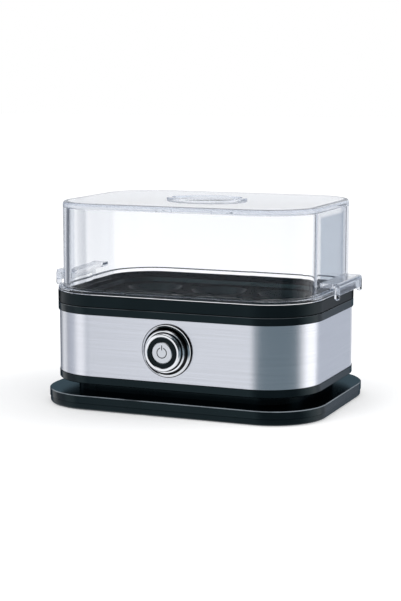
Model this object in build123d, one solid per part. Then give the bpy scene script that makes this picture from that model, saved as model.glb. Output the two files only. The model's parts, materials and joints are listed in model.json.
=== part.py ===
from build123d import *
import os

# Electric egg cooker for six eggs. Millimetres, +Z up, origin on the table under the
# middle of the housing, front towards -Y. Every inset is measured in from the face of
# the steel band, and a negative inset stands proud of it.

# Plan of the housing and of the base tray
body_length = 190.0
body_depth = 138.0
body_corner = 38.0
tray_overhang = 5.6
tray_corner = 38.2

# Heights above the table
cover_bottom = 0.4
cover_top = 4.5
tray_bottom = 4.8
tray_top = 10.1
skirt_bottom = 17.2
skirt_top = 22.6
band_bottom = 22.8
band_top = 64.8
collar_bottom = 65.0
collar_top = 70.1
rack_bottom = 70.4
rack_top = 78.3
lid_top = 139.7

# Walls and sheets
moulded_wall = 2.2
collar_wall = 2.4
steel_sheet = 0.6
lid_wall = 4.0
lid_ceiling = 3.6
plate_sheet = 0.8
shield_sheet = 0.8

# Clearances
slip = 0.15
screw_slip = 0.1
rest_gap = 0.3
lift_gap = 0.5
button_gap = 0.3

# Base tray and its cover
cover_inset = 0.4
cover_edge = 1.4
cover_sheet = 2.4
tray_edge = 0.5
neck_inset = 13.0
neck_deck = 2.2
wire_opening = (110.0, 60.0)
wire_opening_corner = 10.0
vent_length = 24.0
vent_width = 2.5
vent_pitch = 8.0
vent_count = 9

# Rubber feet
foot_radius = 7.0
foot_height = 2.0
foot_edge = 0.5
foot_inward = (17.0, 19.0)

# Self-tapping screws
shank_radius = 1.5
head_radius = 2.8
head_height = 1.6
cover_boss_inward = (33.0, 27.0)
neck_boss_inward = (27.0, 47.0)
pillar_inward = (16.0, 18.0)
cover_screw_length = 9.0
neck_screw_length = 11.0
collar_screw_length = 13.0
boss_radius = 4.0
pillar_radius = 5.2
pillar_top = 50.0
pillar_end = 3.2
neck_boss_height = 12.0
skirt_edge = 0.6

# Housing ribs
rib_thickness = 1.6
rib_depth = 5.0
rib_inward = (41.0, 55.0)

# Top collar
ring_proud = 0.9
ring_edge = 0.3
ledge_thickness = 2.0
ledge_inset = 18.0
seal_inset = 13.5
seal_width = 3.5
seal_height = 1.0
locating_wall = 1.8
locating_depth = 2.6
leg_radius = 4.5

# Water plate, its heater and the heat shield
plate_rim_inset = 12.6
plate_mouth_inset = 19.5
plate_floor_inset = 23.0
plate_floor = 55.2
plate_bead_width = 4.0
plate_bead_height = 0.8
heater_radius = 3.25
heater_inward = (43.0, 40.0)
heater_corner = 16.0
heater_tail_gap = 18.0
heater_tail_bend = 8.0
heater_tail_end = 38.0
pin_radius = 1.2
pin_length = 6.0
bead_radius = 2.6
bead_length = 2.4
strap_width = 9.0
strap_sheet = 0.7
strap_foot = 5.0
shield_floor = 42.0
shield_mouth_inset = 17.5
shield_floor_inset = 21.2
shield_flange_inset = 15.0
shield_slot = (24.0, 12.0)
shield_slot_corner = 2.0
stud_radius = 2.0
stud_inward = (33.0, 33.0)
nut_radius = 3.6
nut_height = 2.8
thermostat_radius = 8.2
thermostat_height = 6.0
thermostat_edge = 0.8
blade_size = (0.8, 4.8, 6.0)
bracket_length = 52.0
bracket_width = 6.0
fuse_radius = 2.0
fuse_length = 12.0
fuse_wire = 0.6
fuse_wire_reach = 4.0
fuse_share = (0.6, 0.35)

# Push button, radii and reach out from the steel
button_height = 44.4
button_reach = 9.2
bezel_flange = 18.0
bezel_rim = 1.2
bezel_rim_edge = 0.5
bezel_slope_top = 3.4
bezel_step = 14.4
bezel_step_edge = 0.5
bezel_reach = 5.2
bezel_barrel = 14.0
barrel_length = 9.0
ring_nut_radius = 17.4
ring_nut_length = 3.2
ring_nut_notch = 3.0
sleeve_radius = 12.7
sleeve_wall = 1.5
sleeve_web = 2.0
sleeve_edge = 1.0
stop_flange = 13.8
stop_thickness = 1.6
glass_ring_radius = 10.3
glass_ring_recess = 0.35
glass_ring_edge = 0.2
cap_radius = 7.2
cap_edge = 0.5
icon_radius = 3.4
icon_stroke = 0.6
icon_depth = 0.4
icon_gap = 2.2
icon_fit = 0.03
button_travel = 2.0
stem_radius = 2.1
stem_reach = 9.5
stem_collar = 1.0
spring_radius = 4.2
spring_wire = 0.9

# Control board behind the button
board_size = (52.0, 34.0)
board_sheet = 1.6
board_back = 15.0
board_hole_at = (21.0, 13.5)
post_radius = 3.0
board_screw_length = 7.0
switch_size = 12.0
switch_corner = 1.0
switch_front = 8.0
stem_spare = 1.5
relay_size = (15.0, 14.0, 12.0)
relay_at = -17.5
buzzer_radius = 6.0
buzzer_length = 8.0
buzzer_at = 11.5
buzzer_hole = (1.2, 2.0)
case_edge = 0.5

# Mains entry at the back
cord_inlet_at = (0.0, 33.0)
cord_bore = 3.4
grommet_neck = 6.0
grommet_flange = 8.5
grommet_flange_thickness = 2.0
grommet_tail = 8.0
grommet_edge = 0.5
grommet_barb = 1.8
grommet_nose = 9.2
grommet_nose_wall = 1.4
terminal_size = (36.0, 10.0, 11.4)
terminal_edge = 0.6
terminal_inward = 19.0
terminal_recess = 3.0
terminal_screw_spread = 28.0
terminal_screw_length = 10.0
lead_radius = 1.1
lead_bend = 5.0
board_lead_at = 1.6
board_lead_pitch = 2.9
board_lead_sag = 4.0
board_lead_rise = 3.0
board_lead_sweep = 60.0

# Egg rack
seat_pitch = (50.0, 48.0)
seat_radius = 16.0
seat_mouth = 20.6
seat_wall = 1.7
seat_drop = 5.4
rim_width = 3.45
rim_edge = 0.4
deck_thickness = 2.2
shelf_depth = 3.0
field_inset = 14.0
field_slope = 1.6
field_drop = 2.7
skirt_wall = 2.0
skirt_drop = 2.0
drain_radius = 3.0

# Clear lid
lid_wall_inset = 2.95
lid_flange_proud = 0.7
lid_flange_thickness = 2.0
lid_edge = 2.0
lid_foot_fillet = 2.0
boss_size = (58.0, 44.0)
boss_height = 1.5
boss_rim = 3.5
boss_dish = 1.6
vent_slot = (30.0, 3.0)
vent_slot_at = -8.0
handle_reach = 105.3
handle_half = 27.0
handle_corner = 3.0
handle_top = 89.0
handle_web = 3.0
handle_lip = 2.8
handle_lip_bottom = 81.2
handle_edge = 2.2
hook_radius = 1.9
hook_bottom = 78.0
hook_edge = 0.9

front = -body_depth / 2
back = body_depth / 2
end = body_length / 2
housing_inset = steel_sheet + slip
housing_inner = housing_inset + moulded_wall


def body_plan(inset):
    """Rounded outline of the housing, drawn in from the steel by inset."""
    return RectangleRounded(
        body_length - 2 * inset, body_depth - 2 * inset, body_corner - inset
    )


def tray_plan(inset):
    """Rounded outline of the base tray, drawn in from its edge by inset."""
    return RectangleRounded(
        body_length + 2 * tray_overhang - 2 * inset,
        body_depth + 2 * tray_overhang - 2 * inset,
        tray_corner - inset,
    )


def slab(outline, low, high):
    """Straight prism on an outline between two heights."""
    return Pos(0, 0, low) * extrude(outline, high - low)


def wall(inset, thickness, low, high):
    """Upright wall that follows the housing's outline."""
    return slab(body_plan(inset), low, high) - slab(body_plan(inset + thickness), low, high)


def flared(low_inset, low, high_inset, high):
    """Body with a sloping side between two housing outlines."""
    return loft([Pos(0, 0, low) * body_plan(low_inset), Pos(0, 0, high) * body_plan(high_inset)])


def column(radius, x, y, low, high):
    """Round column between two heights."""
    return Pos(x, y, low) * extrude(Circle(radius), high - low)


def turned(*points):
    """Solid of revolution about Z through radius and height pairs."""
    return revolve(Plane.XZ * make_face(Polyline(*points, close=True)), Axis.Z)


def mirrored(spot):
    """The four mirrored places of a spot in plan."""
    return [(x, y) for x in (-spot[0], spot[0]) for y in (-spot[1], spot[1])]


def corners(inward):
    """The four mirrored places that lie inward from the housing's ends and sides."""
    return mirrored((end - inward[0], back - inward[1]))


def screw(length):
    """Pan head screw, head downwards, its head's seat at height 0 and its tip above."""
    shank = extrude(Circle(shank_radius), length)
    head = Pos(0, 0, -head_height) * extrude(Circle(head_radius), head_height)
    return shank + head


def on_front(proud):
    """Place on the button's axis, its local Z pointing out of the front."""
    return Location((0, front - proud, button_height), (90, 0, 0))


def on_back(proud):
    """Place on the cord inlet's axis, its local Z pointing out of the back."""
    return Location((cord_inlet_at[0], back + proud, cord_inlet_at[1]), (-90, 0, 0))


# Base

cover_floor = cover_bottom + cover_sheet
boss_bottom = cover_top + 0.1
counterbore_top = cover_bottom + head_height + 0.4
neck_deck_bottom = skirt_bottom - neck_deck


def rubber_feet():
    foot = extrude(Circle(foot_radius), foot_height)
    foot = chamfer(foot.edges().group_by(Axis.Z)[0], foot_edge)
    return [Pos(x, y, 0) * foot for x, y in corners(foot_inward)]


def bottom_cover():
    """Shallow dish that closes the tray, with vents, foot recesses and screw pads."""
    shell = slab(tray_plan(cover_inset), cover_bottom, cover_top)
    shell = fillet(shell.edges().group_by(Axis.Z)[0], cover_edge)
    shell -= slab(tray_plan(cover_inset + moulded_wall), cover_floor, cover_top)
    lip_outer = moulded_wall + slip + 0.4
    lip = slab(tray_plan(lip_outer), cover_floor, tray_top - moulded_wall - 0.5)
    shell += lip - slab(tray_plan(lip_outer + 1.4), cover_floor, tray_top)
    for x, y in corners(cover_boss_inward):
        shell += column(boss_radius, x, y, cover_bottom, cover_top)
        shell -= column(head_radius + screw_slip, x, y, cover_bottom, counterbore_top)
        shell -= column(shank_radius + screw_slip, x, y, cover_bottom, cover_top)
    for x, y in corners(foot_inward):
        shell -= column(foot_radius + screw_slip, x, y, cover_bottom, foot_height)
    vent = extrude(SlotOverall(vent_length, vent_width), cover_floor - cover_bottom)
    first = -vent_pitch * (vent_count - 1) / 2
    for index in range(vent_count):
        shell -= Pos(first + index * vent_pitch, 0, cover_bottom) * Rot(0, 0, 90) * vent
    return shell


def base_tray():
    """Wide tray with a hollow neck, whose deck carries the housing."""
    tray = slab(tray_plan(0), tray_bottom, tray_top)
    tray = chamfer(tray.edges().group_by(Axis.Z)[-1], tray_edge)
    tray += slab(body_plan(neck_inset), tray_top - 1, skirt_bottom)
    tray -= slab(tray_plan(moulded_wall), tray_bottom, tray_top - moulded_wall)
    tray -= slab(body_plan(neck_inset + moulded_wall), tray_bottom, neck_deck_bottom)
    tray -= slab(RectangleRounded(*wire_opening, wire_opening_corner), tray_bottom, skirt_bottom)
    for x, y in corners(cover_boss_inward):
        tray += column(boss_radius, x, y, boss_bottom, neck_deck_bottom)
        tray -= column(shank_radius + screw_slip, x, y, boss_bottom, neck_deck_bottom)
    for x, y in corners(neck_boss_inward):
        tray -= column(shank_radius + screw_slip, x, y, neck_deck_bottom, skirt_bottom)
    return tray


def base_screws():
    fixing = screw(cover_screw_length)
    return [Pos(x, y, counterbore_top) * fixing for x, y in corners(cover_boss_inward)]


def neck_screws():
    fixing = screw(neck_screw_length)
    return [Pos(x, y, neck_deck_bottom) * fixing for x, y in corners(neck_boss_inward)]


# Housing

housing_floor = skirt_bottom + moulded_wall
housing_top = collar_bottom - 0.2
pillar_seat = pillar_top - pillar_end
neck_boss_top = skirt_bottom + neck_boss_height


def board_posts():
    """Round posts behind the front wall that carry the control board."""
    post = Pos(0, 0, -board_back) * extrude(Circle(post_radius), board_back - housing_inner + 0.2)
    post -= Pos(0, 0, -board_back) * extrude(Circle(shank_radius + screw_slip), board_screw_length)
    return [on_front(0) * Pos(x, y, 0) * post for x, y in mirrored(board_hole_at)]


def housing():
    """Moulded shell: skirt, floor, inner wall behind the steel, pillars, posts and ribs."""
    skirt = slab(body_plan(-rest_gap), skirt_bottom, skirt_top)
    skirt = chamfer(skirt.edges().group_by(Axis.Z)[0], skirt_edge)
    shell = skirt + slab(body_plan(housing_inset), skirt_top - 1, housing_top)
    shell -= slab(body_plan(housing_inner), housing_floor, housing_top)
    shell -= slab(RectangleRounded(*wire_opening, wire_opening_corner), skirt_bottom, housing_floor)
    rib_top = housing_top - locating_depth - 1
    rib = extrude(Rectangle(rib_thickness, rib_depth + 0.4), rib_top - housing_floor)
    for inward in rib_inward:
        for x, y in mirrored((end - inward, back - housing_inner - rib_depth / 2 + 0.2)):
            shell += Pos(x, y, housing_floor) * rib
    for x, y in corners(pillar_inward):
        shell += column(pillar_radius, x, y, housing_floor - 1, pillar_top)
        shell -= column(head_radius + 0.4, x, y, skirt_bottom, pillar_seat)
        shell -= column(shank_radius + screw_slip, x, y, pillar_seat, pillar_top)
    for x, y in corners(neck_boss_inward):
        shell += column(boss_radius, x, y, housing_floor - 1, neck_boss_top)
        shell -= column(shank_radius + screw_slip, x, y, skirt_bottom, neck_boss_top - 2)
    for post in board_posts():
        shell += post
    for x, y in terminal_spots():
        shell -= column(shank_radius + screw_slip, x, y, skirt_bottom, housing_floor)
    shell -= on_front(1) * extrude(Circle(bezel_barrel + slip), -10)
    shell -= on_back(1) * extrude(Circle(grommet_neck + slip), -10)
    return shell


def steel_band():
    """Brushed sleeve round the housing, pierced for the button and the cord."""
    band = wall(0, steel_sheet, band_bottom, band_top)
    band -= on_front(1) * extrude(Circle(bezel_barrel + slip), -4)
    band -= on_back(1) * extrude(Circle(grommet_neck + slip), -4)
    return band


# Collar, water plate and heater

ledge_top = collar_bottom + ledge_thickness
seal_top = ledge_top + seal_height
plate_rim_top = seal_top + plate_sheet
plate_top = plate_floor + plate_sheet


def top_collar():
    """Black ring on top of the housing, with the ledge that carries the water plate."""
    ring = slab(body_plan(-ring_proud), collar_bottom, collar_top)
    ring = chamfer(ring.edges().group_by(Axis.Z)[-1], ring_edge)
    ring -= slab(body_plan(collar_wall - ring_proud), ledge_top, collar_top)
    ring -= slab(body_plan(ledge_inset), collar_bottom, ledge_top)
    guide = plate_rim_inset - 0.4
    ring += wall(guide - 1.4, 1.4, ledge_top - 0.5, plate_rim_top)
    lip = housing_inner + slip
    ring += wall(lip, locating_wall, collar_bottom - locating_depth, collar_bottom + 0.5)
    for x, y in corners(pillar_inward):
        ring += column(leg_radius, x, y, pillar_top, collar_bottom + 0.5)
        ring -= column(shank_radius + screw_slip, x, y, pillar_top, pillar_top + collar_screw_length)
    return ring


def collar_screws():
    fixing = screw(collar_screw_length)
    return [Pos(x, y, pillar_seat) * fixing for x, y in corners(pillar_inward)]


def plate_seal():
    return wall(seal_inset, seal_width, ledge_top, seal_top)


def heating_plate():
    """Pressed water plate: flat rim, sloping side and a raised bead round its floor."""
    plate = slab(body_plan(plate_rim_inset), seal_top, plate_rim_top)
    plate += flared(plate_floor_inset, plate_floor, plate_mouth_inset, seal_top)
    inner_floor = plate_floor_inset + plate_sheet
    inner_mouth = plate_mouth_inset + plate_sheet
    plate -= flared(inner_floor, plate_top, inner_mouth, plate_rim_top)
    bead_inset = inner_floor + plate_bead_width
    bead = wall(bead_inset, plate_bead_width, plate_top - 0.1, plate_top + plate_bead_height)
    return plate + bead


heater_half = (end - heater_inward[0], back - heater_inward[1])


def heater_path():
    """Centre line of the tube: up the left tail, round the loop and down the right."""
    x, y = heater_half
    level = plate_floor - screw_slip - heater_radius
    tail = heater_tail_gap / 2
    points = [
        (-tail, y, heater_tail_end), (-tail, y, level), (-x, y, level), (-x, -y, level),
        (x, -y, level), (x, y, level), (tail, y, level), (tail, y, heater_tail_end),
    ]
    bends = [heater_tail_bend] + [heater_corner] * 4 + [heater_tail_bend]
    return FilletPolyline(*points, radius=bends)


def heating_element():
    path = heater_path()
    start = Plane(origin=path @ 0, z_dir=path % 0)
    return sweep(start * Circle(heater_radius), path=path)


def terminal_pins():
    """Ceramic bead and steel pin on each cold end of the heater."""
    bead_bottom = pin_length - bead_length
    pin = turned(
        (0, 0), (pin_radius, 0), (pin_radius, bead_bottom), (bead_radius, bead_bottom),
        (bead_radius, pin_length), (0, pin_length),
    )
    low = heater_tail_end - pin_length
    tail = heater_tail_gap / 2
    return [Pos(x, heater_half[1], low) * pin for x in (-tail, tail)]


def saddle(radius, width, top):
    """Sheet strap under a tube that runs along Y, with two feet against the plate."""
    outer = radius + screw_slip + strap_sheet
    drop = 2 * radius + screw_slip
    arch = Circle(outer) + Pos(0, outer / 2) * Rectangle(2 * outer, outer)
    arch -= Circle(outer - strap_sheet)
    arch -= Pos(0, radius) * Rectangle(2 * (outer - strap_sheet), 2 * radius)
    arch -= Pos(0, drop - radius + outer) * Rectangle(4 * outer, 2 * outer)
    foot = Rectangle(strap_foot, strap_sheet)
    foot_x = outer - strap_sheet / 2 + strap_foot / 2 - strap_sheet / 2
    foot_y = drop - radius - strap_sheet / 2
    profile = arch + Pos(foot_x, foot_y) * foot + Pos(-foot_x, foot_y) * foot
    strap = extrude(Plane.XZ * profile, width / 2, both=True)
    return Pos(0, 0, top - drop + radius) * strap


def element_clips():
    """Three straps that hold the heater up against the water plate."""
    side = saddle(heater_radius, strap_width, plate_floor)
    cross = Rot(0, 0, 90) * side
    x, y = heater_half
    return [Pos(-x, 0, 0) * side, Pos(x, 0, 0) * side, Pos(0, -y, 0) * cross]


def plate_studs():
    low = shield_floor - nut_height - 1.5
    return [column(stud_radius, x, y, low, plate_floor) for x, y in corners(stud_inward)]


def plate_nuts():
    nut = extrude(RegularPolygon(nut_radius, 6), nut_height)
    nut -= extrude(Circle(stud_radius + screw_slip), nut_height)
    return [Pos(x, y, shield_floor - nut_height) * nut for x, y in corners(stud_inward)]


def heat_shield():
    """Pressed tray under the heater, clamped against the collar's ledge."""
    flange_top = collar_bottom - 0.2
    tray = flared(shield_floor_inset, shield_floor, shield_mouth_inset, flange_top)
    tray += slab(body_plan(shield_flange_inset), flange_top - shield_sheet, flange_top)
    inner_floor = shield_floor_inset + shield_sheet
    inner_mouth = shield_mouth_inset + shield_sheet
    tray -= flared(inner_floor, shield_floor + shield_sheet, inner_mouth, flange_top)
    for x, y in corners(stud_inward):
        tray -= column(stud_radius + screw_slip, x, y, shield_floor, plate_floor)
    tail = heater_tail_gap / 2
    for x in (-tail, tail):
        tray -= column(heater_radius + 1, x, heater_half[1], shield_floor, plate_floor)
    slot = RectangleRounded(*shield_slot, shield_slot_corner)
    return tray - slab(slot, shield_floor, shield_floor + shield_sheet)


def thermostat():
    """Snap disc against the middle of the water plate, with two blade terminals."""
    top = plate_floor - screw_slip
    low = top - thermostat_height
    body = column(thermostat_radius, 0, 0, low, top)
    body = chamfer(body.edges().group_by(Axis.Z)[0], thermostat_edge)
    for x in (-thermostat_radius / 2, thermostat_radius / 2):
        width, depth, height = blade_size
        body += Pos(x, 0, low - height) * extrude(Rectangle(width, depth), height + 0.5)
    return body


def thermostat_bracket():
    """Spring strip that presses the thermostat upwards, spot welded at both feet."""
    low = plate_floor - thermostat_height - 2 * screw_slip - strap_sheet
    reach = bracket_length / 2
    inner = thermostat_radius + 2
    strip = slab(Rectangle(2 * inner, bracket_width), low, low + strap_sheet)
    for side in (-1, 1):
        upright = Rectangle(strap_sheet, bracket_width)
        strip += Pos(side * (inner - strap_sheet / 2), 0, 0) * slab(upright, low, plate_floor)
        foot = Rectangle(reach - inner, bracket_width)
        middle = side * (reach + inner) / 2
        strip += Pos(middle, 0, 0) * slab(foot, plate_floor - strap_sheet, plate_floor)
    width, depth, height = blade_size
    gap = Rectangle(width + 1, depth + 0.8)
    for x in (-thermostat_radius / 2, thermostat_radius / 2):
        strip -= Pos(x, 0, 0) * slab(gap, low, low + strap_sheet)
    return strip


fuse_x = fuse_share[0] * heater_half[0]
fuse_y = fuse_share[1] * heater_half[1]


def thermal_fuse():
    middle = plate_floor - screw_slip - fuse_radius
    fuse = Rot(90, 0, 0) * extrude(Circle(fuse_radius), fuse_length / 2, both=True)
    wire_reach = fuse_length / 2 + fuse_wire_reach
    lead = Rot(90, 0, 0) * extrude(Circle(fuse_wire), wire_reach, both=True)
    return Pos(fuse_x, fuse_y, middle) * (fuse + lead)


def fuse_clip():
    return Pos(fuse_x, fuse_y, 0) * saddle(fuse_radius, bracket_width, plate_floor)


# Push button

bezel_bore = sleeve_radius + button_gap
sleeve_inner = sleeve_radius - sleeve_wall
web_top = button_reach - 2.6
web_bottom = web_top - sleeve_web
stop_top = -(barrel_length + button_gap)


def button_bezel():
    """Ring round the button: rim, sloping face and raised step, with a barrel through the wall."""
    ring = turned(
        (bezel_bore, -barrel_length), (bezel_barrel, -barrel_length), (bezel_barrel, 0),
        (bezel_flange, 0), (bezel_flange, bezel_rim),
        (bezel_flange - bezel_rim_edge, bezel_rim + bezel_rim_edge), (bezel_step, bezel_slope_top),
        (bezel_step, bezel_reach - bezel_step_edge), (bezel_step - bezel_step_edge, bezel_reach),
        (bezel_bore, bezel_reach),
    )
    return on_front(0) * ring


def bezel_nut():
    """Notched ring nut behind the front wall."""
    top = -housing_inner
    nut = turned(
        (bezel_barrel + screw_slip, top - ring_nut_length), (ring_nut_radius, top - ring_nut_length),
        (ring_nut_radius, top), (bezel_barrel + screw_slip, top),
    )
    notch = Pos(ring_nut_radius, 0, top - ring_nut_length)
    notch *= extrude(Rectangle(ring_nut_notch, ring_nut_notch), ring_nut_length)
    for index in range(6):
        nut -= Rot(0, 0, 60 * index) * notch
    return on_front(0) * nut


def button_sleeve():
    """Chrome cup that slides in the bezel, with a stop flange behind the barrel."""
    recess = glass_ring_radius + screw_slip
    bore = stem_radius + screw_slip
    stop_bottom = stop_top - stop_thickness
    bevel = 0.3 * sleeve_edge
    cup = turned(
        (bore, web_bottom), (sleeve_inner, web_bottom), (sleeve_inner, stop_bottom),
        (stop_flange, stop_bottom), (stop_flange, stop_top), (sleeve_radius, stop_top),
        (sleeve_radius, button_reach - sleeve_edge), (sleeve_radius - bevel, button_reach - bevel),
        (sleeve_radius - sleeve_edge, button_reach), (recess + bevel, button_reach),
        (recess, button_reach - bevel), (recess, web_top), (bore, web_top),
    )
    return on_front(0) * cup


def button_ring():
    """Glossy black ring set in the front of the button."""
    low = web_top
    high = button_reach - glass_ring_recess
    inner = cap_radius + screw_slip
    edge = glass_ring_edge
    ring = turned(
        (inner, low), (glass_ring_radius, low), (glass_ring_radius, high - edge),
        (glass_ring_radius - edge, high), (inner + edge, high), (inner, high - edge),
    )
    return on_front(0) * ring


def icon_outline(grow):
    """Broken ring with a short bar in its gap, widened on every side by grow."""
    stroke = icon_stroke / 2 + grow
    ring = Circle(icon_radius + stroke) - Circle(icon_radius - stroke)
    ring -= Pos(0, icon_radius) * Rectangle(icon_gap - 2 * grow, icon_radius)
    bar = Pos(0, icon_radius) * SlotOverall(icon_radius, 2 * stroke, rotation=90)
    return ring + bar


def button_cap():
    """Satin disc in the middle of the button, engraved for the symbol."""
    cap = Pos(0, 0, web_top) * extrude(Circle(cap_radius), button_reach - web_top)
    cap = chamfer(cap.edges().group_by(Axis.Z)[-1], cap_edge)
    cap -= Pos(0, 0, button_reach - icon_depth) * extrude(icon_outline(icon_fit), icon_depth)
    return on_front(0) * cap


def power_icon():
    return on_front(0) * Pos(0, 0, button_reach - icon_depth) * extrude(icon_outline(0), icon_depth)


def button_stem():
    """Plunger that passes through the sleeve's web and into the switch."""
    collar = stem_radius + 1.4
    stem = turned(
        (0, -stem_reach), (stem_radius, -stem_reach), (stem_radius, web_bottom - stem_collar),
        (collar, web_bottom - stem_collar), (collar, web_bottom), (stem_radius, web_bottom),
        (stem_radius, web_top), (0, web_top),
    )
    return on_front(0) * stem


def button_spring():
    """Room of the return spring, from the switch to the sleeve's web."""
    low = -switch_front
    high = web_bottom - stem_collar - button_gap
    inner = spring_radius - spring_wire
    tube = turned((inner, low), (spring_radius, low), (spring_radius, high), (inner, high))
    return on_front(0) * tube


def switch_body():
    """Momentary switch on the board, with the bore that guides the stem."""
    outline = RectangleRounded(switch_size, switch_size, switch_corner)
    body = Pos(0, 0, -board_back) * extrude(outline, board_back - switch_front)
    bore_depth = stem_reach - switch_front + button_travel + stem_spare
    bore = extrude(Circle(stem_radius + button_gap), -bore_depth)
    return on_front(0) * (body - Pos(0, 0, -switch_front) * bore)


def control_board():
    """Circuit board across the posts behind the button."""
    board = extrude(Rectangle(*board_size), board_sheet)
    for x, y in mirrored(board_hole_at):
        board -= Pos(x, y, 0) * extrude(Circle(shank_radius + screw_slip), board_sheet)
    return on_front(-(board_back + board_sheet)) * board


def relay():
    width, height, depth = relay_size
    low = height / 2 - board_size[1] / 2
    case = Pos(relay_at + width / 2, low, 0) * extrude(Rectangle(width, height), -depth)
    return on_front(-(board_back + board_sheet)) * chamfer(case.edges(), case_edge)


def buzzer():
    low = buzzer_radius - board_size[1] / 2
    radius, depth = buzzer_hole
    can = extrude(Circle(buzzer_radius), -buzzer_length)
    can -= Pos(0, 0, -buzzer_length) * extrude(Circle(radius), depth)
    return on_front(-(board_back + board_sheet)) * Pos(buzzer_at, low, 0) * can


def board_screws():
    place = on_front(-(board_back + board_sheet))
    fixing = screw(board_screw_length)
    return [place * Pos(x, y, 0) * fixing for x, y in mirrored(board_hole_at)]


# Mains entry

terminal_at = back - terminal_inward


def terminal_spots():
    spread = terminal_screw_spread / 2
    return [(-spread, terminal_at), (spread, terminal_at)]


def terminal_block():
    """Insulating block on the housing floor, with three wire bores."""
    length, depth, height = terminal_size
    seat = housing_floor + height - terminal_recess
    block = Pos(0, terminal_at, housing_floor) * extrude(Rectangle(length, depth), height)
    block = chamfer(block.edges().group_by(Axis.Z)[-1], terminal_edge)
    for x, y in terminal_spots():
        block -= column(shank_radius + screw_slip, x, y, housing_floor, housing_floor + height)
        block -= column(head_radius + screw_slip, x, y, seat, housing_floor + height)
    return block


def terminal_screws():
    seat = housing_floor + terminal_size[2] - terminal_recess
    fixing = Rot(180, 0, 0) * screw(terminal_screw_length)
    return [Pos(x, y, seat) * fixing for x, y in terminal_spots()]


def cord_grommet():
    """Strain relief bush for the mains cord, snapped into the back wall."""
    inner_face = -housing_inner
    face = grommet_flange_thickness
    barb = grommet_flange - grommet_edge
    bush = turned(
        (cord_bore, -grommet_tail), (grommet_neck - grommet_edge, -grommet_tail),
        (barb, inner_face - grommet_barb), (barb, inner_face), (grommet_neck, inner_face),
        (grommet_neck, 0), (grommet_flange, 0), (grommet_flange, face - grommet_edge),
        (barb, face), (grommet_neck, face), (cord_bore + grommet_nose_wall, grommet_nose),
        (cord_bore, grommet_nose),
    )
    return on_back(0) * bush


def lead_wires():
    """Insulated leads from the terminal block to the heater and to the board."""
    block_front = terminal_at - terminal_size[1] / 2 - slip
    level = housing_floor + terminal_size[2] / 2
    pin_end = heater_tail_end - pin_length
    leads = []
    for x in (-heater_tail_gap / 2, heater_tail_gap / 2):
        points = (x, heater_half[1], pin_end), (x, heater_half[1], level), (x, block_front, level)
        leads.append(FilletPolyline(*points, radius=lead_bend))
    board_y = front + board_back + board_sheet + slip
    low = level - board_lead_sag
    high = level + board_lead_rise
    for x in (board_lead_at - board_lead_pitch / 2, board_lead_at + board_lead_pitch / 2):
        points = (x, block_front, level), (x, 0, low), (x, board_y, high)
        leads.append(FilletPolyline(*points, radius=board_lead_sweep))
    wires = []
    for path in leads:
        start = Plane(origin=path @ 0, z_dir=path % 0)
        wires.append(sweep(start * Circle(lead_radius), path=path))
    return wires


# Egg rack

shelf_top = rack_top - shelf_depth
shelf_bottom = shelf_top - deck_thickness
field_top = shelf_top - field_drop
field_bottom = field_top - deck_thickness


def seat_spots():
    return [(column_x, row_y)
            for column_x in (-seat_pitch[0], 0, seat_pitch[0])
            for row_y in (-seat_pitch[1] / 2, seat_pitch[1] / 2)]


def egg_rack():
    """Lift-out rack: banded rim, sunken field and six funnel seats."""
    rim = slab(body_plan(-ring_proud), rack_bottom, rack_top)
    rim = chamfer(rim.edges().group_by(Axis.Z)[-1] + rim.edges().group_by(Axis.Z)[0], rim_edge)
    rim -= slab(body_plan(rim_width - ring_proud), rack_bottom, rack_top)
    rack = rim + slab(body_plan(rim_width - ring_proud - 0.2), shelf_bottom, shelf_top)
    rack += flared(field_inset - 1.2 + field_slope, field_bottom, field_inset - 1.2, shelf_bottom + 0.5)
    rack -= flared(field_inset + field_slope, field_top, field_inset, shelf_top)
    skirt_inset = collar_wall - ring_proud + lift_gap
    rack += wall(skirt_inset, skirt_wall, rack_bottom - skirt_drop, shelf_bottom + 0.5)
    low = field_top - seat_drop
    throat = low + 0.8
    seat = turned(
        (seat_radius, low), (seat_radius + seat_wall, low),
        (seat_mouth + seat_wall, field_bottom - 0.4), (seat_mouth + seat_wall, field_top),
        (seat_mouth, field_top), (seat_radius, throat),
    )
    for x, y in seat_spots():
        rack -= column(seat_mouth + 0.2, x, y, field_bottom - 0.1, field_top + 0.1)
        rack += Pos(x, y, 0) * seat
    for x in (-seat_pitch[0] / 2, seat_pitch[0] / 2):
        for y in (-seat_pitch[1] * 0.92, 0, seat_pitch[1] * 0.92):
            rack -= column(drain_radius, x, y, field_bottom, field_top)
    return rack


# Clear lid

flange_bottom = rack_top + rest_gap
flange_top = flange_bottom + lid_flange_thickness
lid_foot = shelf_top + rest_gap
ceiling = lid_top - lid_ceiling
boss_top = lid_top + boss_height


def boss_plan(inset):
    """Oval outline of the boss on the lid, drawn in by inset."""
    return Ellipse(boss_size[0] / 2 - inset, boss_size[1] / 2 - inset)


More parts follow.
